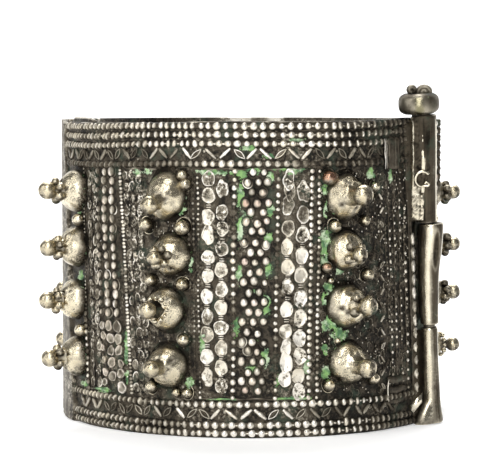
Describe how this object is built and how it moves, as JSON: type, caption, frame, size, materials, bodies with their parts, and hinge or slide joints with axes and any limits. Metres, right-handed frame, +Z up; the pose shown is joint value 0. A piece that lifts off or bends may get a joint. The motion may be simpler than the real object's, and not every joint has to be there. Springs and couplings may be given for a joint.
{
  "type": "hinged silver cuff bangle with a pin clasp",
  "caption": "Wide hinged silver bangle with beaded borders, domed studs with ball tips and a removable clasp pin in three knuckles.",
  "frame": {"origin": "on the axis of the band, at the level of its lower rim", "axes": "+Z up along the wrist opening; -Y is the front, where the panel of discs and granules is; the clasp is to the right of the front at +X, the hinge at -X"},
  "size_m": [0.0674, 0.067, 0.0524],
  "materials": {
    "tarnished_silver": "old silver, blackened in the recesses and worn bright on the beads and domes",
    "worn_silver": "smooth worn silver, slightly yellow",
    "pin_silver": "dark tarnished silver wire"
  },
  "bodies": {
    "front": {"front_half": "tarnished_silver", "hinge_pin": "pin_silver"},
    "back": {"back_half": "tarnished_silver"},
    "pin": {"clasp_pin": "pin_silver", "pin_collar": "worn_silver"}
  },
  "joints": [
    {"name": "hinge_swing", "type": "hinge", "parent": "front", "child": "back", "pos_m": [-0.02883, 0.00202, 0], "axis": [0, 0, 1], "range_deg": [0, 80]},
    {"name": "pin_draw", "type": "slide", "parent": "front", "child": "pin", "axis": [-0.0353, -0.0642, 0.9973], "range_m": [0, 0.05]}
  ]
}
